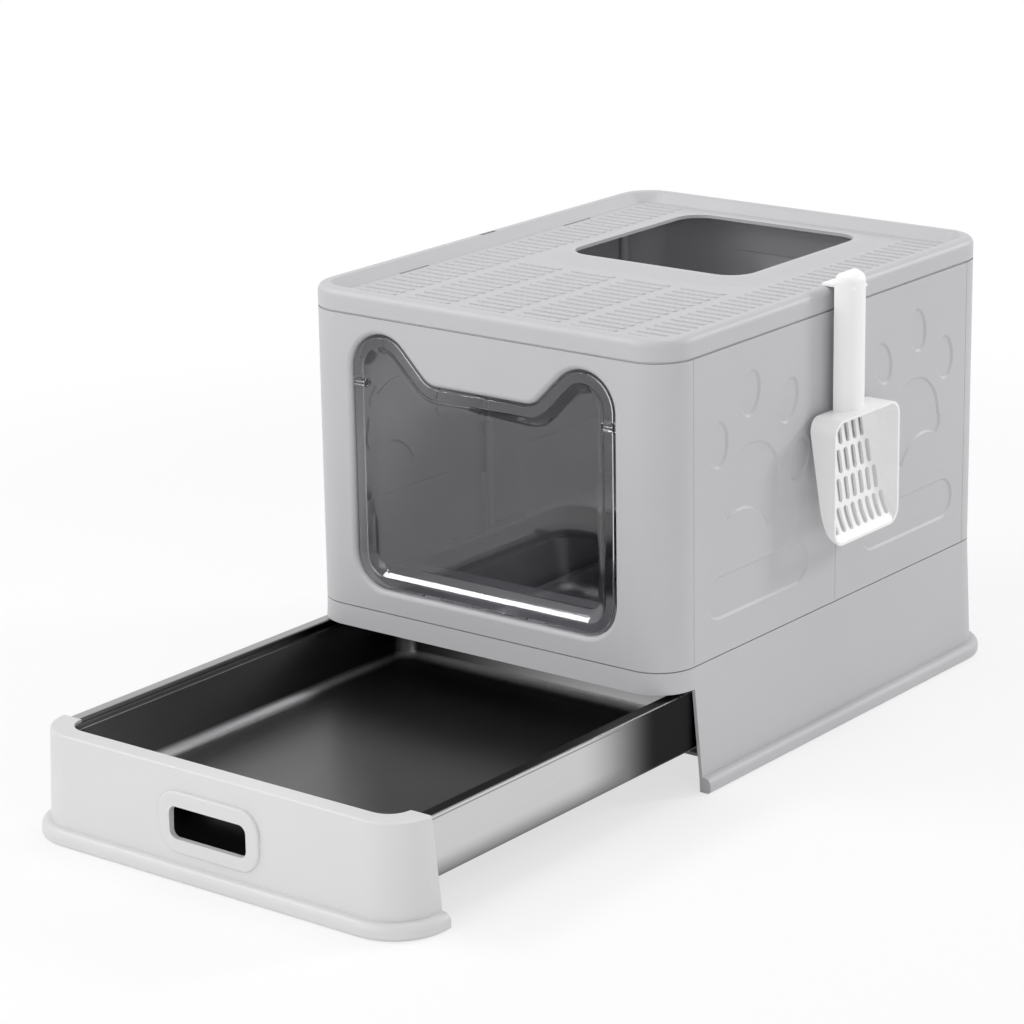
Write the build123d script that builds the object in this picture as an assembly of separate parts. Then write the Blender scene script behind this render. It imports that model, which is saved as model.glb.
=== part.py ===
from build123d import *
import os

# Enclosed cat litter box: a moulded base with a pull-out steel tray, folding-type walls on hinge pins,
# a clear swing flap, a lid with a top exit, and a scoop that hangs on the lid's rim.
# Sizes are in millimetres. +Z is up, the front faces -Y, and the origin lies on the floor under the
# middle of the base. The drawer is modelled pulled out.

# Body
body_width = 388.0
body_depth = 502.0
corner_radius = 36.0
wall = 3.0
seam_gap = 0.5
least_corner = 6.0

# Heights
base_top = 112.0
wall_height = 265.0
lid_height = 19.0
beam_height = 18.5

# Skirt and foot bead, shared by the base and the drawer front
skirt_draft = 4.0
foot_flare = 12.0
bead_height = 14.0
bead_round_top = 6.0
bead_round_foot = 4.0
side_seam_margin = 0.6
seam_lean = 7.0
shadow_groove_top = 1.3
shadow_groove_foot = 0.8
shadow_groove_depth = 1.8

# Base deck and floor plate
deck_side = 12.0
deck_end = 133.0
deck_corner = 16.0
floor_plate_z = 11.0
floor_plate_thickness = 3.0
floor_clearance = 0.3
floor_setback = 45.0
floor_rib_width = 5.0
runner_width = 7.0
runner_inset = 10.0
runner_clearance = 0.3

# Tabs that seat the walls in the deck
tab_length = 42.0
tab_thickness = 2.5
tab_drop = 8.0
tab_root = 4.0
tab_clearance = 0.4
tab_slot_room = 2.5
side_tab_from_middle = 31.0
end_tab_from_middle = 90.0

# Drawer front and its handle
tray_hold = 113.0
ledge_front = 16.0
ledge_side = 20.0
ledge_thickness = 2.5
ledge_corner = 20.0
drawer_top_round = 1.8
handle_width = 81.0
handle_height = 27.5
handle_corner = 7.0
handle_z = 48.0
handle_frame = 12.5
handle_frame_rise = 2.5
handle_frame_round = 2.0
tray_shelf_depth = 9.0

# Steel tray
tray_end_gap = 38.5
tray_clearance = 0.5
sheet = 1.0
tray_low = 37.0
tray_floor = 40.0
flange_width = 12.0
step_height = 5.0
step_width = 6.0
basin_lean = 18.0
basin_round = 13.0
basin_corner_margin = 3.0
apron_return = 10.0
apron_round = 5.0
finger_room = 16.0
front_apron_low = 22.0

# Front opening with its two raised ears, and the lip moulded round it
opening_side_margin = 54.5
opening_sill = 21.0
opening_corner = 32.0
ear_radius = 33.0
ear_width = 84.1
valley_drop = 53.0
valley_radius = 20.0
lip_width = 7.0
lip_depth = 13.0
lip_round = 5.0

# Swing flap on two pins
flap_gap = 2.0
flap_sheet = 2.2
flap_flange = 9.0
flap_flange_offset = -4.0
flap_pane_offset = 2.0
flap_dish_taper = 50.0
flap_edge_round = 1.0
flap_round = 12.0
flap_brow_round = 3.0
flap_notch_length = 20.0
flap_notch_depth = 2.0
flap_notch_from_middle = 56.0
pivot_below_valley = 7.5
pivot_depth = 6.5
pivot_radius = 2.0
pivot_clearance = 0.06
pivot_boss_radius = 4.4
pivot_boss_length = 12.0
pivot_grip = 9.0
pivot_head_radius = 3.2
pivot_head = 2.0

# Wall hinges
barrel_radius = 4.5
barrel_clearance = 0.3
barrel_low = 8.0
barrel_top_clearance = 3.0
knuckle_count = 5
hinge_pin_radius = 1.6
hinge_pin_clearance = 0.1
hinge_head_radius = 2.8
hinge_head = 1.5

# Paw print and pill outlines pressed into the side walls
press_depth = 1.5
press_run = 2.2
paw_from_middle = 127.0
paw_up = 135.0
paw_tilt = 18.0
toe_width = 28.0
toe_height = 41.0
outer_toe_across = 64.0
outer_toe_up = 30.0
outer_toe_tilt = 14.0
inner_toe_across = 30.0
inner_toe_up = 77.0
inner_toe_tilt = 5.0
pad_half_width = 41.0
pad_top = 40.0
pad_side = -14.0
pad_lobe_across = 31.0
pad_lobe_low = -31.0
pad_notch = -18.0
pill_length = 153.0
pill_height = 38.0
pill_from_middle = 119.0
pill_up = 51.0
rear_press_width = 192.0
rear_press_height = 201.0
rear_press_corner = 25.0
rear_press_depth = 3.0

# Lid
lid_round = 7.0
rim_width = 11.5
rim_slope = 7.0
rim_height = 10.0
rim_round = 2.5
lid_lip_drop = 8.0
lid_lip_thickness = 2.5
lid_lip_clearance = 0.6
rim_hollow_inset = 4.5
exit_width = 189.5
exit_depth = 201.5
exit_corner = 25.0
exit_from_rear = 154.5
collar_rise = 4.5
collar_flat = 6.0
collar_run = 24.0
rib_length = 47.0
rib_width = 6.0
rib_rise = 1.0
rib_taper = 15.0
rib_columns = 6
rib_column_pitch = 58.8
rib_row_pitch = 12.15
rib_margin = 9.0
rib_clear_of_exit_side = 26.0
rib_clear_of_exit_front = 42.0
window_length = 41.0
window_width = 3.0
window_from_middle = 121.0
window_inset = 20.5
hook_slot_length = 22.0
hook_slot_width = 4.0
hook_slot_inset = 9.0
hook_slot_depth = 12.0

# Scoop, hanging on the right-hand rim
scoop_wall = 2.4
bowl_width = 103.0
bowl_height = 111.0
bowl_below_rim = 106.0
bowl_corner = 14.0
bowl_stand_off = 5.0
bowl_depth = 27.0
bowl_bend_up = 35.0
bowl_bend_in = 15.0
bowl_sag = 2.0
scoop_slot_length = 20.5
scoop_slot_width = 6.5
scoop_slot_row_pitch = 24.0
scoop_slot_column_pitch = 11.3
scoop_slot_low = 8.7
scoop_slot_margin = 5.5
grip_half_width = 19.0
grip_stand_off = 8.5
grip_crown = 16.0
grip_above_rim = 13.5
grip_top_round = 8.0
hook_width = 20.0
hook_thickness = 2.2
hook_clearance = 0.3
hook_drop = 7.0

# Places that follow from the sizes above
half_width = body_width / 2
front_face = -body_depth / 2
rear_face = body_depth / 2
side_seam = corner_radius + side_seam_margin
front_seam = front_face + side_seam
rear_seam = rear_face - side_seam
deck_low = base_top - wall
lid_seam = base_top + wall_height
lid_top = lid_seam + lid_height
lid_floor = lid_top - rim_height
drawer_opening_top = base_top - beam_height
drawer_top = drawer_opening_top - seam_gap
tray_rim = drawer_top - ledge_thickness - runner_clearance
tray_length = body_depth - wall - tray_clearance - tray_end_gap
drawer_pull = tray_length - tray_hold
basin_corner = basin_round + basin_corner_margin
opening_half_width = half_width - opening_side_margin
opening_low = base_top + opening_sill
valley_half_width = opening_half_width - ear_width
valley_z = lid_seam - valley_drop
pivot_y = front_face + pivot_depth
pivot_z = valley_z - pivot_below_valley
paw_z = base_top + paw_up
pill_z = base_top + pill_up
barrel_x = half_width - wall - barrel_clearance - barrel_radius
wall_low = base_top + seam_gap / 2
wall_high = lid_seam - seam_gap / 2
lid_low = lid_seam + seam_gap / 2
lid_lip_low = lid_seam - lid_lip_drop
exit_y = rear_face - exit_from_rear
hook_slot_x = half_width - hook_slot_inset
bowl_top = lid_top - bowl_below_rim
bowl_low = bowl_top - bowl_height
grip_top = lid_top + grip_above_rim
overcut = 1.0


def span(x0, x1, y0, y1, z0, z1):
    """A box between two corners."""
    return Pos((x0 + x1) / 2, (y0 + y1) / 2, (z0 + z1) / 2) * Box(x1 - x0, y1 - y0, z1 - z0)


def outline(inset):
    """The body's plan, drawn in by inset, or out where inset is negative."""
    radius = max(corner_radius - inset, least_corner)
    return RectangleRounded(body_width - 2 * inset, body_depth - 2 * inset, radius)


def slab(inset, low, high):
    return extrude(Plane.XY.offset(low) * outline(inset), high - low)


def taper(low_inset, low, high_inset, high):
    return loft([Plane.XY.offset(low) * outline(low_inset), Plane.XY.offset(high) * outline(high_inset)])


def plan_block(width, depth, radius, y, low, high):
    return extrude(Plane.XY.offset(low) * Pos(0, y) * RectangleRounded(width, depth, radius), high - low)


def lean(z):
    """How far the skirt stands outside the body at height z."""
    return skirt_draft * (base_top - z) / (base_top - bead_height)


def front_plane(y):
    """A plane seen from the front, with its X along +X, its Y along +Z and its normal along -Y."""
    return Plane(origin=(0, y, 0), x_dir=(1, 0, 0), z_dir=(0, -1, 0))


def foot_bead():
    bead = slab(-foot_flare, 0, bead_height)
    bead = fillet(bead.edges().group_by(Axis.Z)[-1], bead_round_top)
    return fillet(bead.edges().group_by(Axis.Z)[0], bead_round_foot)


def skirt(top, top_round=0):
    """The hollow drafted skirt with its foot bead, open below and above, up to height top."""
    solid = taper(-skirt_draft, bead_height, -lean(top), top)
    if top_round:
        solid = fillet(solid.edges().group_by(Axis.Z)[-1], top_round)
    solid += foot_bead()
    hollow = taper(wall - skirt_draft, bead_height, wall - lean(top), top)
    return solid - hollow - slab(wall - skirt_draft, 0, bead_height)


def drawer_bay(y, top):
    """The space in front of y and below top, which the drawer front takes up.

    Its rear face leans back towards the foot.
    """
    reach = half_width + foot_flare + overcut
    nearest = front_face - foot_flare - overcut
    foot_lean = seam_lean * (drawer_opening_top + overcut) / drawer_opening_top
    top_lean = seam_lean * (drawer_opening_top - top) / drawer_opening_top
    points = [(nearest, -overcut), (y + foot_lean, -overcut), (y + top_lean, top), (nearest, top)]
    side = make_face(Polyline(*points, close=True))
    return extrude(Plane.YZ * side, reach, both=True)


def tab_places():
    """Centre of each wall tab on the inner face of the walls, and whether it runs along X."""
    side = half_width - wall
    end = body_depth / 2 - wall
    places = []
    for sign_x in (-1, 1):
        for sign_y in (-1, 1):
            places.append((sign_x * side, sign_y * side_tab_from_middle, False))
            places.append((sign_x * end_tab_from_middle, sign_y * end, True))
    return places


def tab_box(x, y, along_x, clearance, room, low, high):
    """A tab on the inner face of a wall, or its slot where a clearance and the room behind it are given."""
    reach = tab_thickness + clearance + room
    length = tab_length + 2 * clearance
    if along_x:
        inner = y - reach if y > 0 else y + reach
        return span(x - length / 2, x + length / 2, min(y, inner), max(y, inner), low, high)
    inner = x - reach if x > 0 else x + reach
    return span(min(x, inner), max(x, inner), y - length / 2, y + length / 2, low, high)


def make_base_frame():
    opening_width = body_width - 2 * deck_side
    opening_depth = body_depth - 2 * deck_end
    deck = slab(0, deck_low, base_top)
    deck -= plan_block(opening_width, opening_depth, deck_corner, 0, deck_low, base_top)
    frame = skirt(base_top) + deck
    frame -= drawer_bay(front_seam, drawer_opening_top)
    for x, y, along_x in tab_places():
        frame -= tab_box(x, y, along_x, tab_clearance, tab_slot_room, deck_low, base_top)
    return frame


def make_base_floor():
    inset = wall - skirt_draft + floor_clearance
    plate_top = floor_plate_z + floor_plate_thickness
    plate = slab(inset, floor_plate_z, plate_top)
    start = front_seam + floor_setback
    plate -= drawer_bay(start, plate_top + overcut)
    reach = half_width - inset - corner_radius
    depth = rear_face - inset - corner_radius
    plate += span(-reach, reach, -floor_rib_width / 2, floor_rib_width / 2, 0, floor_plate_z)
    plate += span(-floor_rib_width / 2, floor_rib_width / 2, start, depth, 0, floor_plate_z)
    runner_x = half_width - wall - tray_clearance - runner_inset + runner_width / 2
    for sign in (-1, 1):
        runner = span(-runner_width / 2, runner_width / 2, start, depth, plate_top,
                      tray_low - runner_clearance)
        plate += Pos(sign * runner_x, 0, 0) * runner
    return plate


def make_drawer_front():
    end = front_seam - seam_gap
    front = skirt(drawer_top, drawer_top_round)
    ledge = extrude(Plane.XY.offset(drawer_top - ledge_thickness) * outline(wall / 2), ledge_thickness)
    opening_depth = body_depth - 2 * ledge_front
    opening = RectangleRounded(body_width - 2 * ledge_side, opening_depth, ledge_corner)
    ledge -= extrude(Plane.XY.offset(drawer_top - ledge_thickness) * opening, ledge_thickness)
    shelf_inset = wall - lean(tray_low)
    shelf_high = tray_low - runner_clearance
    shelf = slab(shelf_inset - wall / 2, shelf_high - wall, shelf_high)
    shelf -= slab(shelf_inset + tray_shelf_depth, shelf_high - wall, shelf_high)
    face = front_face - lean(handle_z)
    frame_width = handle_width + 2 * handle_frame
    frame_height = handle_height + 2 * handle_frame
    shelf -= span(-frame_width / 2, frame_width / 2, face, 0, shelf_high - wall, shelf_high)
    front = (front + ledge + shelf) & drawer_bay(end, drawer_top)
    frame_face = front_plane(face - handle_frame_rise) * Pos(0, handle_z)
    pad = extrude(frame_face * RectangleRounded(frame_width, frame_height, handle_corner + handle_frame),
                  -handle_frame_rise - wall / 2)
    pad = fillet(pad.faces().sort_by(Axis.Y)[0].edges(), handle_frame_round)
    front += pad
    hole = extrude(frame_face * RectangleRounded(handle_width, handle_height, handle_corner),
                   -handle_frame_rise - 2 * wall)
    return Pos(0, -drawer_pull, 0) * (front - hole)


def make_steel_tray():
    half = half_width + lean(tray_rim) - wall - tray_clearance
    low_y = front_face + wall + tray_clearance
    centre = low_y + tray_length / 2
    corner = corner_radius - wall

    def ring_plan(inset):
        radius = max(corner - inset, basin_corner)
        return Pos(0, centre) * RectangleRounded(2 * (half - inset), tray_length - 2 * inset, radius)

    def tier(inset, low, high):
        return extrude(Plane.XY.offset(low) * ring_plan(inset), high - low)

    def basin(skin, low):
        upper = tray_rim - step_height
        body = loft([Plane.XY.offset(low) * ring_plan(flange_width + step_width + basin_lean - skin),
                     Plane.XY.offset(upper) * ring_plan(flange_width + step_width - skin)])
        return fillet(body.edges().group_by(Axis.Z)[0], basin_round + skin)

    step_low = tray_rim - step_height
    rim = tier(0, tray_rim - sheet, tray_rim)
    step = tier(flange_width - sheet, step_low - sheet, tray_rim)
    apron = tier(0, tray_low, tray_rim)
    apron = fillet(apron.edges().group_by(Axis.Z)[0], apron_round)
    inside = tier(sheet, tray_low + sheet, tray_rim)
    apron -= fillet(inside.edges().group_by(Axis.Z)[0], apron_round - sheet)
    apron -= tier(apron_return, tray_low, tray_low + sheet)
    apron -= span(-half, half, low_y, low_y + corner, tray_low, tray_rim - sheet)
    tray = rim + step + basin(sheet, tray_floor - sheet) + apron
    tray -= tier(flange_width, step_low, tray_rim)
    tray -= basin(0, tray_floor)
    front_apron = low_y + finger_room
    tray += span(corner - half, half - corner, front_apron, front_apron + sheet, front_apron_low, step_low)
    return Pos(0, -drawer_pull, 0) * tray


def opening_face():
    """Outline of the front opening: a rounded rectangle with an ear at each upper corner."""
    ear_point = valley_z + opening_half_width - valley_half_width
    points = [
        (-opening_half_width, opening_low),
        (opening_half_width, opening_low),
        (opening_half_width, ear_point),
        (valley_half_width, valley_z),
        (-valley_half_width, valley_z),
        (-opening_half_width, ear_point),
    ]
    radii = [opening_corner, opening_corner, ear_radius, valley_radius, valley_radius, ear_radius]
    return make_face(FilletPolyline(*points, radius=radii, close=True))


def wall_ring():
    """The walls as one ring, with a shadow groove along their upper and lower outer edges."""
    ring = slab(0, wall_low, wall_high) - slab(wall, wall_low, wall_high)
    bands = ((wall_low, wall_low + shadow_groove_foot), (wall_high - shadow_groove_top, wall_high))
    for low, high in bands:
        ring -= slab(0, low, high) - slab(shadow_groove_depth, low, high)
    return ring


def with_tabs(panel, sign_y, along_x, sign_x=0):
    """Adds to a wall the tabs that stand on it."""
    for x, y, runs_along_x in tab_places():
        beside = sign_x == 0 or x * sign_x > 0
        if runs_along_x == along_x and y * sign_y > 0 and beside:
            panel += tab_box(x, y, along_x, 0, 0, base_top - tab_drop, base_top + tab_root)
    return panel


def hinge_places():
    """Name, X sign and Y of each vertical hinge line."""
    lines = []
    for side, sign in (("left", -1), ("right", 1)):
        for place, y in (("front", front_seam), ("middle", 0.0), ("rear", rear_seam)):
            lines.append((f"hinge_pin_{side}_{place}", sign, y))
    return lines


def knuckles(sign, y, towards, first):
    """Barrel segments on one side of a hinge line: every second knuckle, starting with number first."""
    low = base_top + barrel_low
    high = lid_lip_low - barrel_top_clearance
    pitch = (high - low) / knuckle_count
    bore = hinge_pin_radius + hinge_pin_clearance
    inner_face = half_width - wall
    parts = []
    for number in range(first, knuckle_count, 2):
        z0 = low + number * pitch + barrel_clearance / 2
        z1 = low + (number + 1) * pitch - barrel_clearance / 2
        barrel = Pos(sign * barrel_x, y, (z0 + z1) / 2) * Cylinder(barrel_radius, z1 - z0)
        web_y = (y + towards * barrel_clearance, y + towards * 2 * barrel_radius)
        web_x = (sign * barrel_x, sign * inner_face)
        web = span(min(web_x), max(web_x), min(web_y), max(web_y), z0, z1)
        hole = Pos(sign * barrel_x, y, (z0 + z1) / 2) * Cylinder(bore, z1 - z0)
        parts.append(barrel + web - hole)
    return parts


def make_front_panel():
    seam = front_seam - seam_gap / 2
    panel = wall_ring() & span(-half_width, half_width, front_face, seam, wall_low, wall_high)
    face = front_plane(front_face)
    hole = face * opening_face()
    lip_plan = offset(opening_face(), lip_width)
    lip = extrude(face * lip_plan, -lip_depth) - extrude(hole, -lip_depth)
    rim_edges = lip.faces().sort_by(Axis.Y)[0].inner_wires()[0].edges()
    lip = fillet(rim_edges, lip_round)
    panel = panel - extrude(face * lip_plan, -wall) + lip
    bore = Plane.YZ * Pos(pivot_y, pivot_z) * Circle(pivot_radius + pivot_clearance)
    panel -= extrude(bore, opening_half_width + lip_width + overcut, both=True)
    for sign in (-1, 1):
        for part in knuckles(sign, front_seam, -1, 0):
            panel += part
    return with_tabs(panel, -1, True)


def make_rear_panel():
    seam = rear_seam + seam_gap / 2
    panel = wall_ring() & span(-half_width, half_width, seam, rear_face, wall_low, wall_high)
    middle = (wall_low + wall_high) / 2
    press = RectangleRounded(rear_press_width, rear_press_height, rear_press_corner)
    raised = offset(press, wall)
    inner = front_plane(rear_face - wall) * Pos(0, middle)
    outer = front_plane(rear_face) * Pos(0, middle)
    panel += extrude(inner * raised, rear_press_depth)
    panel -= extrude(outer * press, rear_press_depth)
    for sign in (-1, 1):
        for part in knuckles(sign, rear_seam, 1, 0):
            panel += part
    return with_tabs(panel, 1, True)


def paw_faces(inset):
    """Four toes and a pad, drawn round the pad's middle, each drawn in by inset."""
    toes = []
    for sign in (-1, 1):
        toe = Ellipse(toe_width / 2 - inset, toe_height / 2 - inset)
        toes.append(Pos(sign * outer_toe_across, outer_toe_up) * Rot(0, 0, -sign * outer_toe_tilt) * toe)
        toes.append(Pos(sign * inner_toe_across, inner_toe_up) * Rot(0, 0, -sign * inner_toe_tilt) * toe)
    half = pad_half_width - inset
    low = pad_lobe_low + inset
    lobe = half - pad_lobe_across
    top = ThreePointArc((-half, pad_side), (0, pad_top - inset), (half, pad_side))
    right = ThreePointArc((half, pad_side), (half, low + lobe), (pad_lobe_across, low))
    notch = ThreePointArc((pad_lobe_across, low), (0, pad_notch + inset), (-pad_lobe_across, low))
    left = ThreePointArc((-pad_lobe_across, low), (-half, low + lobe), (-half, pad_side))
    return toes + [make_face([top, right, notch, left])]


def pressed_shapes(sign_y, inset):
    """The faces pressed into one side wall; sign_y says towards which end of the plane's X they lie."""
    shapes = []
    paw = Pos(sign_y * paw_from_middle, paw_z) * Rot(0, 0, sign_y * paw_tilt)
    for face in paw_faces(inset):
        shapes.append(paw * face)
    pill = SlotOverall(pill_length - 2 * inset, pill_height - 2 * inset)
    shapes.append(Pos(sign_y * pill_from_middle, pill_z) * pill)
    return shapes


def make_side_panel(sign_x, sign_y):
    """Half of a side wall, with its pressed shapes standing proud inside."""
    y_range = sorted((sign_y * seam_gap / 2, sign_y * (rear_seam - seam_gap / 2)))
    x_range = sorted((sign_x * (half_width - wall), sign_x * half_width))
    panel = wall_ring() & span(x_range[0], x_range[1], y_range[0], y_range[1], wall_low, wall_high)
    outer = Plane(origin=(sign_x * half_width, 0, 0), x_dir=(0, -sign_x, 0), z_dir=(-sign_x, 0, 0))
    inner = outer.offset(wall)
    pressed = outer.offset(press_depth)
    end = -sign_x * sign_y
    for edge, bottom in zip(pressed_shapes(end, 0), pressed_shapes(end, press_run)):
        panel += extrude(inner * edge, press_depth)
        panel -= loft([outer * edge, pressed * bottom])
    for part in knuckles(sign_x, sign_y * rear_seam, -sign_y, 1):
        panel += part
    for part in knuckles(sign_x, 0.0, sign_y, 0 if sign_y < 0 else 1):
        panel += part
    return with_tabs(panel, sign_y, False, sign_x)


def make_hinge_pin(sign, y):
    low = base_top + barrel_low
    high = lid_lip_low - barrel_top_clearance
    place = Pos(sign * barrel_x, y, 0)
    rod = Pos(0, 0, (low + high) / 2) * Cylinder(hinge_pin_radius, high - low)
    head = Pos(0, 0, high + hinge_head / 2) * Cylinder(hinge_head_radius, hinge_head)
    return place * (rod + head)


def make_door_flap():
    """A flat flange with a dished pane, whose wall slopes back from the flange."""
    plan = offset(opening_face(), -flap_gap)
    dish = offset(opening_face(), -flap_gap - flap_flange)
    flange_front = pivot_y + flap_flange_offset - flap_sheet / 2
    flange_back = flange_front + flap_sheet
    pane_back = pivot_y + flap_pane_offset + flap_sheet / 2
    depth = flap_pane_offset - flap_flange_offset
    flange = extrude(front_plane(flange_front) * plan, -flap_sheet)
    flange = fillet(flange.edges(), flap_edge_round)
    outside = extrude(front_plane(flange_back) * dish, -depth, taper=flap_dish_taper)
    outside = fillet(outside.faces().sort_by(Axis.Y)[-1].edges(), flap_round)
    pocket = extrude(front_plane(flange_front) * dish, -depth, taper=flap_dish_taper)
    pocket = fillet(pocket.faces().sort_by(Axis.Y)[-1].edges(), flap_round - flap_edge_round)
    flap = flange + outside - pocket
    brow = flap.faces().sort_by(Axis.Y)[0].inner_wires()[0].edges()
    flap = fillet(brow, flap_brow_round)
    edge = opening_half_width - flap_gap
    for sign in (-1, 1):
        boss_x = sign * (edge - pivot_boss_length / 2)
        boss = Rot(0, 90, 0) * Cylinder(pivot_boss_radius, pivot_boss_length)
        bore_x = sign * (edge - pivot_grip / 2)
        bore = Rot(0, 90, 0) * Cylinder(pivot_radius + pivot_clearance, pivot_grip)
        flap = flap + Pos(boss_x, pivot_y, pivot_z) * boss - Pos(bore_x, pivot_y, pivot_z) * bore
        notch_x = sign * flap_notch_from_middle
        notch_top = opening_low + flap_gap + flap_notch_depth
        flap -= span(notch_x - flap_notch_length / 2, notch_x + flap_notch_length / 2,
                     front_face, pane_back, opening_low, notch_top)
    return flap


def make_flap_pin(sign):
    inner = opening_half_width - flap_gap - pivot_grip + pivot_clearance
    outer = opening_half_width + lip_width
    rod = Pos((inner + outer) / 2, 0, 0) * Rot(0, 90, 0) * Cylinder(pivot_radius, outer - inner)
    head = Pos(outer + pivot_head / 2, 0, 0) * Rot(0, 90, 0) * Cylinder(pivot_head_radius, pivot_head)
    pin = rod + head
    if sign < 0:
        pin = mirror(pin, Plane.YZ)
    return Pos(0, pivot_y, pivot_z) * pin


def rib_faces():
    """Columns of anti-slip ribs over the lid's floor, clear of the exit and its collar."""
    inset = rim_width + rim_slope + rib_margin
    reach_x = half_width - inset
    reach_y = body_depth / 2 - inset
    rows = int(2 * reach_y / rib_row_pitch)
    keep_x = exit_width / 2 + rib_clear_of_exit_side
    keep_front = exit_y - exit_depth / 2 - rib_clear_of_exit_front
    ribs = []
    for row in range(rows + 1):
        y = (row - rows / 2) * rib_row_pitch
        for column in range(rib_columns):
            x = (column - (rib_columns - 1) / 2) * rib_column_pitch
            x0 = max(x - rib_length / 2, -reach_x)
            x1 = min(x + rib_length / 2, reach_x)
            if y > keep_front and x < 0:
                x1 = min(x1, -keep_x)
            if y > keep_front and x > 0:
                x0 = max(x0, keep_x)
            if x1 - x0 > 2 * rib_width:
                ribs.append(Pos((x0 + x1) / 2, y) * SlotOverall(x1 - x0, rib_width))
    return Sketch() + ribs


def make_lid():
    lid = slab(0, lid_low, lid_top)
    lid = fillet(lid.edges().group_by(Axis.Z)[-1], lid_round)
    recess = taper(rim_width + rim_slope, lid_floor, rim_width, lid_top)
    lid -= recess
    rim_edges = lid.faces().sort_by(Axis.Z)[-1].inner_wires()[0].edges()
    lid = fillet(rim_edges, rim_round)
    under = lid_floor - wall
    lid -= slab(wall, lid_low, under)
    hollow_top = lid_top - 2 * wall
    lid -= slab(rim_hollow_inset, under, hollow_top) - slab(rim_width, under, hollow_top)
    collar_tiers = []
    for z, grow in ((lid_floor, collar_run), (lid_floor + collar_rise, collar_flat)):
        plan = RectangleRounded(exit_width + 2 * grow, exit_depth + 2 * grow, exit_corner + grow)
        collar_tiers.append(Plane.XY.offset(z) * Pos(0, exit_y) * plan)
    collar = loft(collar_tiers)
    lid = lid + collar - Pos(0, 0, -wall) * collar
    lid += extrude(Plane.XY.offset(lid_floor) * rib_faces(), rib_rise, taper=rib_taper)
    lid -= plan_block(exit_width, exit_depth, exit_corner, exit_y, under, lid_floor + collar_rise)
    lip_inset = wall + lid_lip_clearance
    lip = slab(lip_inset, lid_lip_low, under) - slab(lip_inset + lid_lip_thickness, lid_lip_low, under)
    lid += lip
    for sign_x in (-1, 1):
        for sign_y in (-1, 1):
            window_x = sign_x * (half_width - window_inset)
            window = Box(window_width, window_length, wall)
            lid -= Pos(window_x, sign_y * window_from_middle, lid_floor - wall / 2) * window
        slot = Box(hook_slot_width, hook_slot_length, hook_slot_depth)
        lid -= Pos(sign_x * hook_slot_x, 0, lid_top - hook_slot_depth / 2) * slot
    return lid


def bowl_solid(skin):
    """The scoop's bowl, or with a skin given, the space inside it, which is open towards +X."""
    back = half_width + bowl_stand_off
    mouth = back + bowl_depth
    top = bowl_top - skin
    low = bowl_low + skin
    profile_plane = Plane(origin=(0, 0, 0), x_dir=(1, 0, 0), z_dir=(0, -1, 0))
    bend = (mouth - bowl_bend_in + skin, low + bowl_bend_up)
    sag = ((mouth + bend[0]) / 2 - bowl_sag, (low + bend[1]) / 2 - bowl_sag)
    lines = [
        Line((back + skin, top), (mouth, top)),
        Line((mouth, top), (mouth, low)),
        ThreePointArc((mouth, low), sag, bend),
        Line(bend, (back + skin, top)),
    ]
    wedge = extrude(profile_plane * make_face(lines), bowl_width, both=True)
    end_plane = Plane(origin=(back, 0, 0), x_dir=(0, 1, 0), z_dir=(1, 0, 0))
    height = bowl_top - bowl_low - 2 * skin
    section = RectangleRounded(bowl_width - 2 * skin, height, bowl_corner - skin)
    return wedge & extrude(end_plane * Pos(0, (bowl_top + bowl_low) / 2) * section, bowl_depth)


def make_scoop():
    scoop = bowl_solid(0) - bowl_solid(scoop_wall)
    back = half_width + bowl_stand_off
    slot_plane = Plane(origin=(back, 0, 0), x_dir=(0, 1, 0), z_dir=(1, 0, 0))
    rows = int((bowl_height - scoop_slot_low - scoop_slot_margin) / scoop_slot_row_pitch)
    columns = int((bowl_width - 2 * scoop_slot_margin) / scoop_slot_column_pitch)
    slots = []
    for row in range(rows):
        z = bowl_low + scoop_slot_low + scoop_slot_length / 2 + row * scoop_slot_row_pitch
        row_columns = columns - row
        for column in range(row_columns):
            y = (column - (row_columns - 1) / 2) * scoop_slot_column_pitch
            slots.append(Pos(y, z) * Rot(0, 0, 90) * SlotOverall(scoop_slot_length, scoop_slot_width))
    scoop -= extrude(slot_plane * (Sketch() + slots), bowl_depth)
    grip_x = half_width + grip_stand_off
    arc = ThreePointArc((grip_x, -grip_half_width), (grip_x + grip_crown, 0), (grip_x, grip_half_width))
    bar = make_face([arc, Line((grip_x, grip_half_width), (grip_x, -grip_half_width))])
    grip = extrude(Plane.XY.offset(bowl_top - scoop_wall) * bar, grip_top - bowl_top + scoop_wall)
    end_face = grip.faces().sort_by(Axis.Z)[-1]
    crown_edge = end_face.edges().sort_by(Axis.X)[-1]
    grip = fillet(crown_edge, grip_top_round)
    channel_half = grip_half_width - scoop_wall
    channel_crown = (grip_x + grip_crown - scoop_wall, 0)
    channel_arc = ThreePointArc((grip_x, -channel_half), channel_crown, (grip_x, channel_half))
    channel = make_face([channel_arc, Line((grip_x, channel_half), (grip_x, -channel_half))])
    grip -= extrude(Plane.XY.offset(bowl_top) * channel, grip_top - grip_top_round - bowl_top)
    hook_low = lid_top + hook_clearance
    hook_tip = hook_slot_x - hook_thickness / 2
    hook_root = grip_x + grip_crown - scoop_wall / 2
    arm = span(hook_tip, hook_root, -hook_width / 2, hook_width / 2, hook_low, hook_low + hook_thickness)
    tip = span(hook_tip, hook_tip + hook_thickness, -hook_width / 2, hook_width / 2,
               hook_low - hook_drop, hook_low + hook_thickness)
    return scoop + grip + arm + tip


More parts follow.
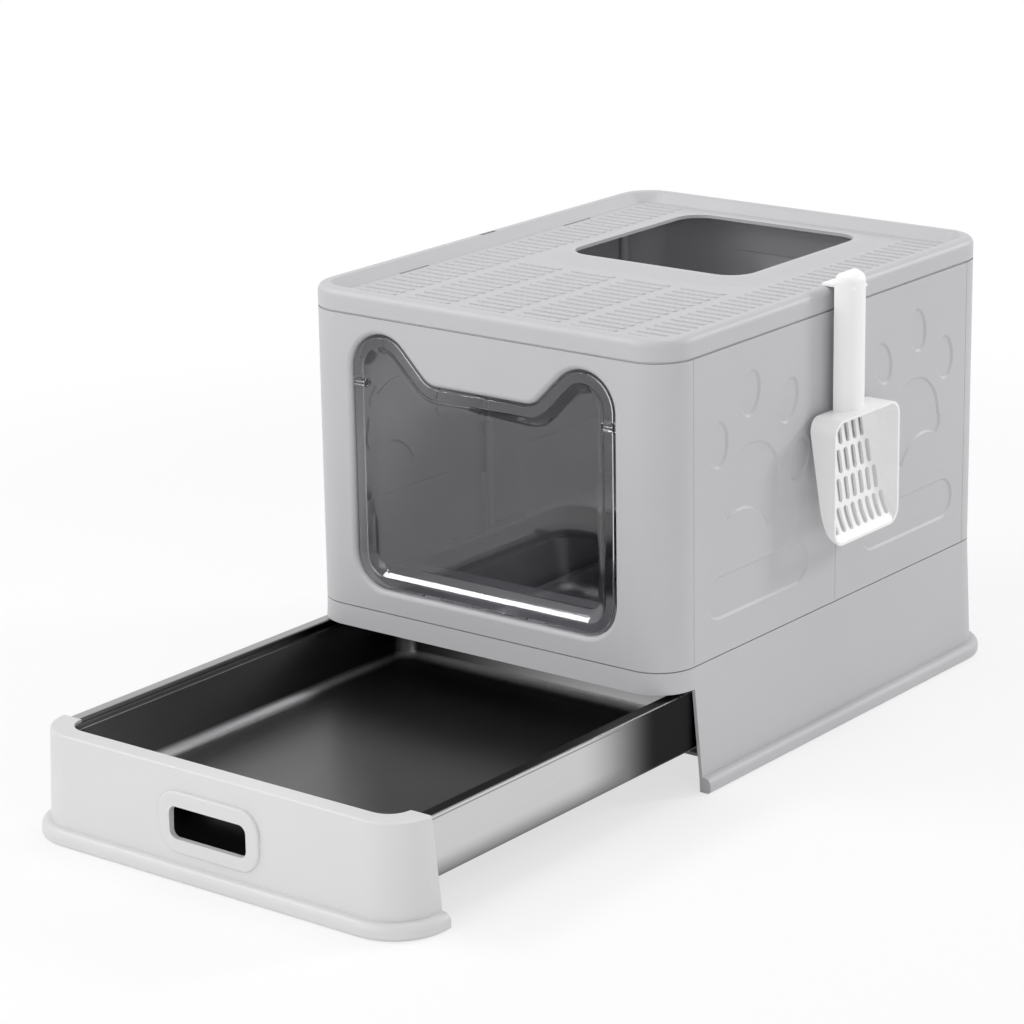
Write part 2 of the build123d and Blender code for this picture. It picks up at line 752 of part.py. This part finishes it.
def make_parts():
    parts = {
        "base_frame": make_base_frame(),
        "base_floor": make_base_floor(),
        "drawer_front": make_drawer_front(),
        "steel_tray": make_steel_tray(),
        "front_panel": make_front_panel(),
        "rear_panel": make_rear_panel(),
        "door_flap": make_door_flap(),
        "flap_pin_left": make_flap_pin(-1),
        "flap_pin_right": make_flap_pin(1),
        "lid": make_lid(),
        "scoop": make_scoop(),
    }
    for side, sign_x in (("left", -1), ("right", 1)):
        for end, sign_y in (("front", -1), ("rear", 1)):
            parts[f"side_panel_{side}_{end}"] = make_side_panel(sign_x, sign_y)
    for name, sign, y in hinge_places():
        parts[name] = make_hinge_pin(sign, y)
    return parts


os.makedirs("parts", exist_ok=True)
for node, shape in make_parts().items():
    export_step(shape, os.path.join("parts", f"{node}.step"))
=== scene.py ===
import math

import bpy
from mathutils import Matrix, Vector

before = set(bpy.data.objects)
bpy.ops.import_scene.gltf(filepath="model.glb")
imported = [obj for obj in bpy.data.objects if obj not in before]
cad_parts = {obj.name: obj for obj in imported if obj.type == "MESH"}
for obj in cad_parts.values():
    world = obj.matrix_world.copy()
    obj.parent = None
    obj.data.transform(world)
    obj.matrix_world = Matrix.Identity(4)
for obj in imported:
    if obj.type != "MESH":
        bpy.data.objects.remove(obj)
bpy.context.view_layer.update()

# Camera, fitted to the photograph: metres and degrees in the part's frame
EYE = Vector((1.7925, -2.5014, 1.0854))
AZIMUTH = math.radians(38.01)
ELEVATION = math.radians(16.696)
ROLL = math.radians(-0.966)
FOCAL_PIXELS = 3555.33
IMAGE_PIXELS = 1024.0
SENSOR = 36.0
CLIP_END = 50.0

# Colours, linear
GREY = (0.518, 0.517, 0.534, 1.0)
DRAWER_WHITE = (0.66, 0.66, 0.66, 1.0)
SCOOP_WHITE = (0.92, 0.92, 0.92, 1.0)
SMOKE = (0.76, 0.76, 0.79, 1.0)
PIN = (0.45, 0.45, 0.46, 1.0)
FLOOR_COLOUR = (0.90, 0.90, 0.90, 1.0)

# Moulded plastic: faint flow marks and a fine spark-eroded grain
GREY_ROUGHNESS = 0.48
WHITE_ROUGHNESS = 0.42
ROUGHNESS_SPREAD = 0.05
GREY_GRAIN = 0.10
WHITE_GRAIN = 0.06
GRAIN_SCALE = 900.0
GRAIN_DETAIL = 2.0
GRAIN_DEPTH = 0.0002
FLOW_SCALE = 6.0
FLOW_DETAIL = 3.0
FLOW_SPREAD = 0.015

# Clear plastic: flow marks in the tint, and smears
CLEAR_FLOW_SCALE = 9.0
CLEAR_FLOW_DETAIL = 2.0
CLEAR_FLOW_SPREAD = 0.04
CLEAR_IOR = 1.49
SMEAR_SCALE = 40.0
SMEAR_DETAIL = 4.0
SMEAR_LOW = 0.4
SMEAR_HIGH = 0.75
SMEAR_ROUGHNESS_LOW = 0.01
SMEAR_ROUGHNESS_HIGH = 0.03

# Drawn wire of the pins: marks along the wire
WIRE_MARK_SCALE = 1500.0
WIRE_MARK_DETAIL = 2.0
WIRE_MARK_STRETCH = (1.0, 1.0, 0.05)
WIRE_SPREAD = 0.1
WIRE_ROUGHNESS_LOW = 0.28
WIRE_ROUGHNESS_HIGH = 0.4

# Steel sheet: rolling grain along the tray
SHEET_GRAIN_SCALE = 700.0
SHEET_GRAIN_DETAIL = 3.0
SHEET_GRAIN_STRETCH = (1.0, 0.03, 1.0)
SHEET_GRAIN_SPREAD = 0.015
SHEET_ROUGHNESS_LOW = 0.28
SHEET_ROUGHNESS_HIGH = 0.33
SHEET_EDGE_TINT = 0.65

# Noise values between which a tint or a roughness changes
NOISE_LOW = 0.3
NOISE_HIGH = 0.7
FLOW_LOW = 0.35
FLOW_HIGH = 0.65

# Tones of the pressed steel sheet: the light apron and the flange's outer band are the steel's own; the
# others are painted reflections, highlights and shade
APRON_LIGHT_TONE = 0.62
LEDGE_PAINTED_REFLECTION = 0.16
SIDE_WALL_PAINTED_REFLECTION = 0.085
END_WALL_PAINTED_DARK_REFLECTION = 0.05
END_WALL_PAINTED_LIGHT_REFLECTION = 0.32
BASIN_FLOOR_PAINTED_REFLECTION = 0.19
FILLET_PAINTED_HIGHLIGHT = 0.90
CORNER_PAINTED_HIGHLIGHT = 0.30
OUTER_FACE_PAINTED_SHADE = 0.03
APRON_PAINTED_SHADE = 0.015
FLANGE_PAINTED_DARK_REFLECTION = 0.05
FLANGE_OUTER_TONE = 0.46
APRON_FOOT_PAINTED_SHADE = 0.20
EDGE_PAINTED_HIGHLIGHT = 0.97
HEM_PAINTED_SHADE = 0.22

# Shares of the surface normal between which the painted reflections, highlights and shade on the steel
# change
END_WALL_FROM = 0.3
END_WALL_FULL = 0.9
CORNER_FROM = 0.30
CORNER_FULL = 0.5
FLAT_FROM = 0.55
FLAT_FULL = 0.95
FILLET_FROM = 0.40
FILLET_FULL_FROM = 0.68
FILLET_FULL_TO = 0.73
FILLET_TO = 0.96
APRON_END_FROM = 0.7
APRON_END_FULL = 0.9
TOP_FROM = 0.4
TOP_FULL = 0.6

# Places on the tray, metres
BASIN_HALF = 0.1744
BASIN_FRONT = -0.5775
BASIN_REAR = -0.1515
BASIN_MIDDLE = -0.3645
LEDGE_TOP = 0.0848
FLANGE_TOP = 0.0885
APRON_LIGHT_END = -0.375
APRON_DARK_START = -0.265
APRON_FOOT = 0.036
APRON_FOOT_END = 0.058
END_WALL_DARK_X = -0.12
END_WALL_LIGHT_X = 0.08
FLANGE_DARK_END = 0.1812
FLANGE_LIGHT_START = 0.1828
EDGE_START = 0.1892
EDGE_END = 0.1900
HEM_LOW = 0.0866
HEM_MIDDLE = 0.0876
HEM_TOP = 0.0886

# Least reach from the basin's middle along a face's own normal, metres, from which the face is an outer one
OUTER_FACE_LEAST = 0.01

# Floor: beyond the fade, metres from the middle, it is as white as the background. The shadow near the
# object is lightened by a share of white.
FLOOR_REACH = 12.0
FLOOR_ROUGHNESS = 0.9
FLOOR_SPECULAR = 0.1
FADE_START = 0.75
FADE_END = 1.4
SHADOW_LIGHTENING = 0.68

# World: its strength as light on the object, and where it is seen directly
WORLD_LIGHT = 0.5
WORLD_SEEN = 1.0


def add_camera():
    """Camera of the photograph, from its fitted place, direction and roll."""
    back = Vector((math.sin(AZIMUTH) * math.cos(ELEVATION), -math.cos(AZIMUTH) * math.cos(ELEVATION),
                   math.sin(ELEVATION)))
    right = (-back).cross(Vector((0, 0, 1))).normalized()
    up = right.cross(-back)
    turned_right = math.cos(ROLL) * right + math.sin(ROLL) * up
    turned_up = -math.sin(ROLL) * right + math.cos(ROLL) * up
    data = bpy.data.cameras.new("photo_camera")
    data.sensor_width = SENSOR
    data.lens = FOCAL_PIXELS / IMAGE_PIXELS * SENSOR
    data.clip_end = CLIP_END
    camera = bpy.data.objects.new("photo_camera", data)
    turn = Matrix((turned_right, turned_up, back)).transposed()
    camera.matrix_world = Matrix.Translation(EYE) @ turn.to_4x4()
    bpy.context.scene.collection.objects.link(camera)
    bpy.context.scene.camera = camera


def new_material(name):
    material = bpy.data.materials.new(name)
    material.use_nodes = True
    tree = material.node_tree
    return material, tree.nodes, tree.links, tree.nodes["Principled BSDF"]


def speckle(nodes, links, scale, detail, stretch=(1, 1, 1)):
    """Noise in the object's own coordinates, drawn out along an axis where stretch is below 1."""
    place = nodes.new("ShaderNodeTexCoord")
    mapping = nodes.new("ShaderNodeMapping")
    mapping.inputs["Scale"].default_value = stretch
    noise = nodes.new("ShaderNodeTexNoise")
    noise.inputs["Scale"].default_value = scale
    noise.inputs["Detail"].default_value = detail
    links.new(place.outputs["Object"], mapping.inputs["Vector"])
    links.new(mapping.outputs["Vector"], noise.inputs["Vector"])
    return noise


def ramp(nodes, links, source, stops):
    """Colour ramp between two stops, each a position and a colour."""
    node = nodes.new("ShaderNodeValToRGB")
    for element, (position, colour) in zip(node.color_ramp.elements, stops):
        element.position = position
        element.color = colour
    links.new(source, node.inputs["Fac"])
    return node


def math_node(nodes, links, operation, first, second=None):
    """A Math node on sockets or numbers; gives its output socket."""
    node = nodes.new("ShaderNodeMath")
    node.operation = operation
    for socket, value in zip(node.inputs, (first, second)):
        if isinstance(value, bpy.types.NodeSocket):
            links.new(value, socket)
        elif value is not None:
            socket.default_value = value
    return node.outputs["Value"]


def graded(nodes, links, source, start, end, low=0.0, high=1.0):
    """A smooth step of a value from low at start to high at end; gives its output socket."""
    node = nodes.new("ShaderNodeMapRange")
    node.interpolation_type = "SMOOTHSTEP"
    links.new(source, node.inputs["Value"])
    node.inputs["From Min"].default_value = start
    node.inputs["From Max"].default_value = end
    node.inputs["To Min"].default_value = low
    node.inputs["To Max"].default_value = high
    return node.outputs["Result"]


def mixed(nodes, links, factor, first, second):
    """Value between first and second, which are sockets or numbers."""
    node = nodes.new("ShaderNodeMix")
    node.data_type = "FLOAT"
    links.new(factor, node.inputs["Factor"])
    for name, value in (("A", first), ("B", second)):
        if isinstance(value, bpy.types.NodeSocket):
            links.new(value, node.inputs[name])
        else:
            node.inputs[name].default_value = value
    return node.outputs["Result"]


def shade(colour, factor):
    return (colour[0] * factor, colour[1] * factor, colour[2] * factor, 1.0)


def grey_value(value):
    return (value, value, value, 1.0)


def add_bump(nodes, links, shader, height, strength, distance):
    bump = nodes.new("ShaderNodeBump")
    bump.inputs["Strength"].default_value = strength
    bump.inputs["Distance"].default_value = distance
    links.new(height, bump.inputs["Height"])
    links.new(bump.outputs["Normal"], shader.inputs["Normal"])


def moulded_plastic(name, colour, roughness, grain):
    """Injection-moulded plastic with a fine spark-eroded texture and faint flow variation."""
    material, nodes, links, shader = new_material(name)
    flow = speckle(nodes, links, FLOW_SCALE, FLOW_DETAIL)
    tint = ramp(nodes, links, flow.outputs["Fac"],
                ((FLOW_LOW, shade(colour, 1 - FLOW_SPREAD)), (FLOW_HIGH, shade(colour, 1 + FLOW_SPREAD))))
    links.new(tint.outputs["Color"], shader.inputs["Base Color"])
    fine = speckle(nodes, links, GRAIN_SCALE, GRAIN_DETAIL)
    rough = ramp(nodes, links, fine.outputs["Fac"],
                 ((NOISE_LOW, grey_value(roughness - ROUGHNESS_SPREAD)),
                  (NOISE_HIGH, grey_value(roughness + ROUGHNESS_SPREAD))))
    links.new(rough.outputs["Color"], shader.inputs["Roughness"])
    add_bump(nodes, links, shader, fine.outputs["Fac"], grain, GRAIN_DEPTH)
    return material


def clear_plastic():
    """Clear moulded plastic with a smoky tint and faint smears."""
    material, nodes, links, shader = new_material("clear_plastic")
    flow = speckle(nodes, links, CLEAR_FLOW_SCALE, CLEAR_FLOW_DETAIL)
    tint = ramp(nodes, links, flow.outputs["Fac"],
                ((FLOW_LOW, shade(SMOKE, 1 - CLEAR_FLOW_SPREAD)),
                 (FLOW_HIGH, shade(SMOKE, 1 + CLEAR_FLOW_SPREAD))))
    links.new(tint.outputs["Color"], shader.inputs["Base Color"])
    smear = speckle(nodes, links, SMEAR_SCALE, SMEAR_DETAIL)
    rough = ramp(nodes, links, smear.outputs["Fac"],
                 ((SMEAR_LOW, grey_value(SMEAR_ROUGHNESS_LOW)),
                  (SMEAR_HIGH, grey_value(SMEAR_ROUGHNESS_HIGH))))
    links.new(rough.outputs["Color"], shader.inputs["Roughness"])
    shader.inputs["Transmission Weight"].default_value = 1.0
    shader.inputs["IOR"].default_value = CLEAR_IOR
    return material


def basin_painted_reflections(nodes, links, point, facing):
    """Painted reflections in the basin: dark walls, a lighter floor, painted highlights on the fillets
    between them and painted shade on the outer faces.
    """
    side_facing = math_node(nodes, links, "ABSOLUTE", facing["X"])
    end_facing = math_node(nodes, links, "ABSOLUTE", facing["Y"])
    # Painted reflection on the end walls, dark to the left and lighter to the right
    end_wall = graded(nodes, links, point["X"], END_WALL_DARK_X, END_WALL_LIGHT_X,
                      END_WALL_PAINTED_DARK_REFLECTION, END_WALL_PAINTED_LIGHT_REFLECTION)
    end_wall_share = graded(nodes, links, end_facing, END_WALL_FROM, END_WALL_FULL)
    # Painted dark reflection on the side walls
    wall = mixed(nodes, links, end_wall_share, SIDE_WALL_PAINTED_REFLECTION, end_wall)
    # Painted highlight in the upright corners
    corner = math_node(nodes, links, "MULTIPLY", side_facing, end_facing)
    corner_share = graded(nodes, links, corner, CORNER_FROM, CORNER_FULL)
    wall = mixed(nodes, links, corner_share, wall, CORNER_PAINTED_HIGHLIGHT)
    # Painted reflection on the floor, lighter than the walls
    flat_share = graded(nodes, links, facing["Z"], FLAT_FROM, FLAT_FULL)
    basin = mixed(nodes, links, flat_share, wall, BASIN_FLOOR_PAINTED_REFLECTION)
    # Painted highlight along the fillets between walls and floor
    fillet_rise = graded(nodes, links, facing["Z"], FILLET_FROM, FILLET_FULL_FROM)
    fillet_fall = graded(nodes, links, facing["Z"], FILLET_TO, FILLET_FULL_TO)
    fillet_share = math_node(nodes, links, "MULTIPLY", fillet_rise, fillet_fall)
    basin = mixed(nodes, links, fillet_share, basin, FILLET_PAINTED_HIGHLIGHT)

    # Outer faces look away from the basin's middle; they get painted shade
    along = math_node(nodes, links, "SUBTRACT", point["Y"], BASIN_MIDDLE)
    away_across = math_node(nodes, links, "MULTIPLY", point["X"], facing["X"])
    away_along = math_node(nodes, links, "MULTIPLY", along, facing["Y"])
    away = math_node(nodes, links, "ADD", away_across, away_along)
    outer_face = math_node(nodes, links, "GREATER_THAN", away, OUTER_FACE_LEAST)
    return mixed(nodes, links, outer_face, basin, OUTER_FACE_PAINTED_SHADE)


def apron_tone_and_painted_shade(nodes, links, point, facing):
    """Tone of the apron: the steel's light tone in front, with painted shade to the rear, at the foot, at
    the hem and on end faces.
    """
    # Painted shade: the apron darkens from the front towards the rear
    apron = graded(nodes, links, point["Y"], APRON_LIGHT_END, APRON_DARK_START,
                   APRON_LIGHT_TONE, APRON_PAINTED_SHADE)
    # Painted shade along the apron's foot
    foot_share = graded(nodes, links, point["Z"], APRON_FOOT_END, APRON_FOOT)
    foot = math_node(nodes, links, "MINIMUM", apron, APRON_FOOT_PAINTED_SHADE)
    apron = mixed(nodes, links, foot_share, apron, foot)
    # Painted shade: a dark line along the hem
    hem_rise = graded(nodes, links, point["Z"], HEM_LOW, HEM_MIDDLE)
    hem_fall = graded(nodes, links, point["Z"], HEM_TOP, HEM_MIDDLE)
    hem_share = math_node(nodes, links, "MULTIPLY", hem_rise, hem_fall)
    hem = math_node(nodes, links, "MINIMUM", apron, HEM_PAINTED_SHADE)
    apron = mixed(nodes, links, hem_share, apron, hem)
    # Painted shade on the apron's end faces
    end_facing = math_node(nodes, links, "ABSOLUTE", facing["Y"])
    end_share = graded(nodes, links, end_facing, APRON_END_FROM, APRON_END_FULL)
    return mixed(nodes, links, end_share, apron, OUTER_FACE_PAINTED_SHADE)


def rim_tone_and_painted_reflections(nodes, links, point):
    """Tone of the rim: painted dark reflection, with the steel's light tone on an outer band on the left
    and a painted highlight along the edge on the right.
    """
    # Painted dark reflection on the flange, with the steel's light tone only on its outer band on the left
    left = math_node(nodes, links, "MULTIPLY", point["X"], -1.0)
    flange = graded(nodes, links, left, FLANGE_DARK_END, FLANGE_LIGHT_START,
                    FLANGE_PAINTED_DARK_REFLECTION, FLANGE_OUTER_TONE)
    # Painted highlight along the right edge
    edge_share = graded(nodes, links, point["X"], EDGE_START, EDGE_END)
    flange = mixed(nodes, links, edge_share, flange, EDGE_PAINTED_HIGHLIGHT)
    # Painted dark reflection on the ledge below the flange
    flange_share = graded(nodes, links, point["Z"], LEDGE_TOP, FLANGE_TOP)
    return mixed(nodes, links, flange_share, LEDGE_PAINTED_REFLECTION, flange)


def basin_share(nodes, links, point):
    """1 within the basin's outline below the ledge, and 0 elsewhere."""
    across = math_node(nodes, links, "ABSOLUTE", point["X"])
    below = math_node(nodes, links, "LESS_THAN", point["Z"], LEDGE_TOP)
    within = math_node(nodes, links, "LESS_THAN", across, BASIN_HALF)
    behind = math_node(nodes, links, "GREATER_THAN", point["Y"], BASIN_FRONT)
    ahead = math_node(nodes, links, "LESS_THAN", point["Y"], BASIN_REAR)
    inside = math_node(nodes, links, "MULTIPLY", below, within)
    inside = math_node(nodes, links, "MULTIPLY", inside, behind)
    return math_node(nodes, links, "MULTIPLY", inside, ahead)


def pressed_steel():
    """Satin stainless sheet: its own tone on the apron and flange, with painted reflections, highlights and
    shade graded over basin, apron and rim.
    """
    material, nodes, links, shader = new_material("stainless_steel")
    place = nodes.new("ShaderNodeTexCoord")
    normal_parts = nodes.new("ShaderNodeSeparateXYZ")
    links.new(place.outputs["Normal"], normal_parts.inputs["Vector"])
    facing = normal_parts.outputs
    place_parts = nodes.new("ShaderNodeSeparateXYZ")
    links.new(place.outputs["Object"], place_parts.inputs["Vector"])
    point = place_parts.outputs

    # Painted reflections and shade: the rim's on the upward faces, the apron's on the others, and the
    # basin's within its outline
    apron = apron_tone_and_painted_shade(nodes, links, point, facing)
    rim = rim_tone_and_painted_reflections(nodes, links, point)
    top_share = graded(nodes, links, facing["Z"], TOP_FROM, TOP_FULL)
    outside = mixed(nodes, links, top_share, apron, rim)
    basin = basin_painted_reflections(nodes, links, point, facing)
    tone = mixed(nodes, links, basin_share(nodes, links, point), outside, basin)

    # Fine rolling grain along the sheet
    grain = speckle(nodes, links, SHEET_GRAIN_SCALE, SHEET_GRAIN_DETAIL, SHEET_GRAIN_STRETCH)
    grain_tone = graded(nodes, links, grain.outputs["Fac"], NOISE_LOW, NOISE_HIGH,
                        1 - SHEET_GRAIN_SPREAD, 1 + SHEET_GRAIN_SPREAD)
    tone = math_node(nodes, links, "MULTIPLY", tone, grain_tone)
    colour = nodes.new("ShaderNodeCombineColor")
    for channel in ("Red", "Green", "Blue"):
        links.new(tone, colour.inputs[channel])
    links.new(colour.outputs["Color"], shader.inputs["Base Color"])
    rough = ramp(nodes, links, grain.outputs["Fac"],
                 ((NOISE_LOW, grey_value(SHEET_ROUGHNESS_LOW)),
                  (NOISE_HIGH, grey_value(SHEET_ROUGHNESS_HIGH))))
    links.new(rough.outputs["Color"], shader.inputs["Roughness"])
    shader.inputs["Metallic"].default_value = 1.0
    shader.inputs["Specular Tint"].default_value = grey_value(SHEET_EDGE_TINT)
    return material


def pin_steel():
    """Plain drawn wire with fine marks along it."""
    material, nodes, links, shader = new_material("pin_steel")
    marks = speckle(nodes, links, WIRE_MARK_SCALE, WIRE_MARK_DETAIL, WIRE_MARK_STRETCH)
    tint = ramp(nodes, links, marks.outputs["Fac"],
                ((NOISE_LOW, shade(PIN, 1 - WIRE_SPREAD)), (NOISE_HIGH, shade(PIN, 1 + WIRE_SPREAD))))
    links.new(tint.outputs["Color"], shader.inputs["Base Color"])
    rough = ramp(nodes, links, marks.outputs["Fac"],
                 ((NOISE_LOW, grey_value(WIRE_ROUGHNESS_LOW)),
                  (NOISE_HIGH, grey_value(WIRE_ROUGHNESS_HIGH))))
    links.new(rough.outputs["Color"], shader.inputs["Roughness"])
    shader.inputs["Metallic"].default_value = 1.0
    return material


def assign(node, material):
    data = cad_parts[node].data
    data.materials.clear()
    data.materials.append(material)


def seen_directly(nodes, links):
    """1 for camera, glossy and transmission rays, and 0 for the rays that light the object."""
    path = nodes.new("ShaderNodeLightPath")
    seen = math_node(nodes, links, "ADD", path.outputs["Is Camera Ray"], path.outputs["Is Glossy Ray"])
    seen = math_node(nodes, links, "ADD", seen, path.outputs["Is Transmission Ray"])
    return math_node(nodes, links, "MINIMUM", seen, 1.0)


def add_stage():
    """Pale floor with the object's shadow, which fades into the white background."""
    reach = FLOOR_REACH
    corners = [(-reach, -reach, 0), (reach, -reach, 0), (reach, reach, 0), (-reach, reach, 0)]
    mesh = bpy.data.meshes.new("floor")
    mesh.from_pydata(corners, [], [(0, 1, 2, 3)])
    floor = bpy.data.objects.new("floor", mesh)
    bpy.context.scene.collection.objects.link(floor)
    material, nodes, links, shader = new_material("pale_floor")
    shader.inputs["Base Color"].default_value = FLOOR_COLOUR
    shader.inputs["Roughness"].default_value = FLOOR_ROUGHNESS
    shader.inputs["Specular IOR Level"].default_value = FLOOR_SPECULAR
    white = nodes.new("ShaderNodeEmission")
    white.inputs["Strength"].default_value = 1.0
    place = nodes.new("ShaderNodeTexCoord")
    distance = nodes.new("ShaderNodeVectorMath")
    distance.operation = "LENGTH"
    links.new(place.outputs["Object"], distance.inputs[0])
    fade = graded(nodes, links, distance.outputs["Value"], FADE_START, FADE_END, SHADOW_LIGHTENING, 1.0)
    share = math_node(nodes, links, "MULTIPLY", fade, seen_directly(nodes, links))
    mix = nodes.new("ShaderNodeMixShader")
    links.new(share, mix.inputs["Fac"])
    links.new(shader.outputs["BSDF"], mix.inputs[1])
    links.new(white.outputs["Emission"], mix.inputs[2])
    links.new(mix.outputs["Shader"], nodes["Material Output"].inputs["Surface"])
    mesh.materials.append(material)


def add_area(name, place, target, size, power):
    """Rectangular lamp at a place, aimed at a target: metres and watts."""
    data = bpy.data.lights.new(name, "AREA")
    data.shape = "RECTANGLE"
    data.size = size[0]
    data.size_y = size[1]
    data.energy = power
    light = bpy.data.objects.new(name, data)
    light.location = place
    light.rotation_euler = (Vector(target) - Vector(place)).to_track_quat("-Z", "Y").to_euler()
    bpy.context.scene.collection.objects.link(light)


def add_light():
    """White world and five soft lamps round the object."""
    world = bpy.data.worlds.new("studio")
    world.use_nodes = True
    nodes = world.node_tree.nodes
    links = world.node_tree.links
    background = nodes["Background"]
    background.inputs["Color"].default_value = (1, 1, 1, 1)
    strength = mixed(nodes, links, seen_directly(nodes, links), WORLD_LIGHT, WORLD_SEEN)
    links.new(strength, background.inputs["Strength"])
    bpy.context.scene.world = world
    add_area("side_key", (1.7, 2.4, 1.55), (0.15, 0, 0.28), (0.6, 0.6), 29)
    add_area("right_fill", (2.6, -2.0, 0.9), (0, -0.2, 0.2), (1.5, 1.5), 13)
    add_area("front_fill", (-0.5, -2.9, 1.2), (0, -0.2, 0.25), (1.6, 1.6), 17)
    add_area("flap_strip", (-1.53, -1.32, 1.94), (0, -0.25, 0.14), (1.3, 0.35), 20)
    add_area("top", (0.2, 0.3, 2.5), (0, 0.05, 0.3), (1.0, 1.0), 12)


add_camera()
grey_plastic = moulded_plastic("grey_plastic", GREY, GREY_ROUGHNESS, GREY_GRAIN)
drawer_plastic = moulded_plastic("white_plastic", DRAWER_WHITE, WHITE_ROUGHNESS, WHITE_GRAIN)
scoop_plastic = moulded_plastic("white_scoop_plastic", SCOOP_WHITE, WHITE_ROUGHNESS, WHITE_GRAIN)
wire = pin_steel()
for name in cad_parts:
    assign(name, wire if "_pin_" in name else grey_plastic)
assign("drawer_front", drawer_plastic)
assign("scoop", scoop_plastic)
assign("door_flap", clear_plastic())
assign("steel_tray", pressed_steel())
add_stage()
add_light()
bpy.context.scene.view_settings.view_transform = "Standard"
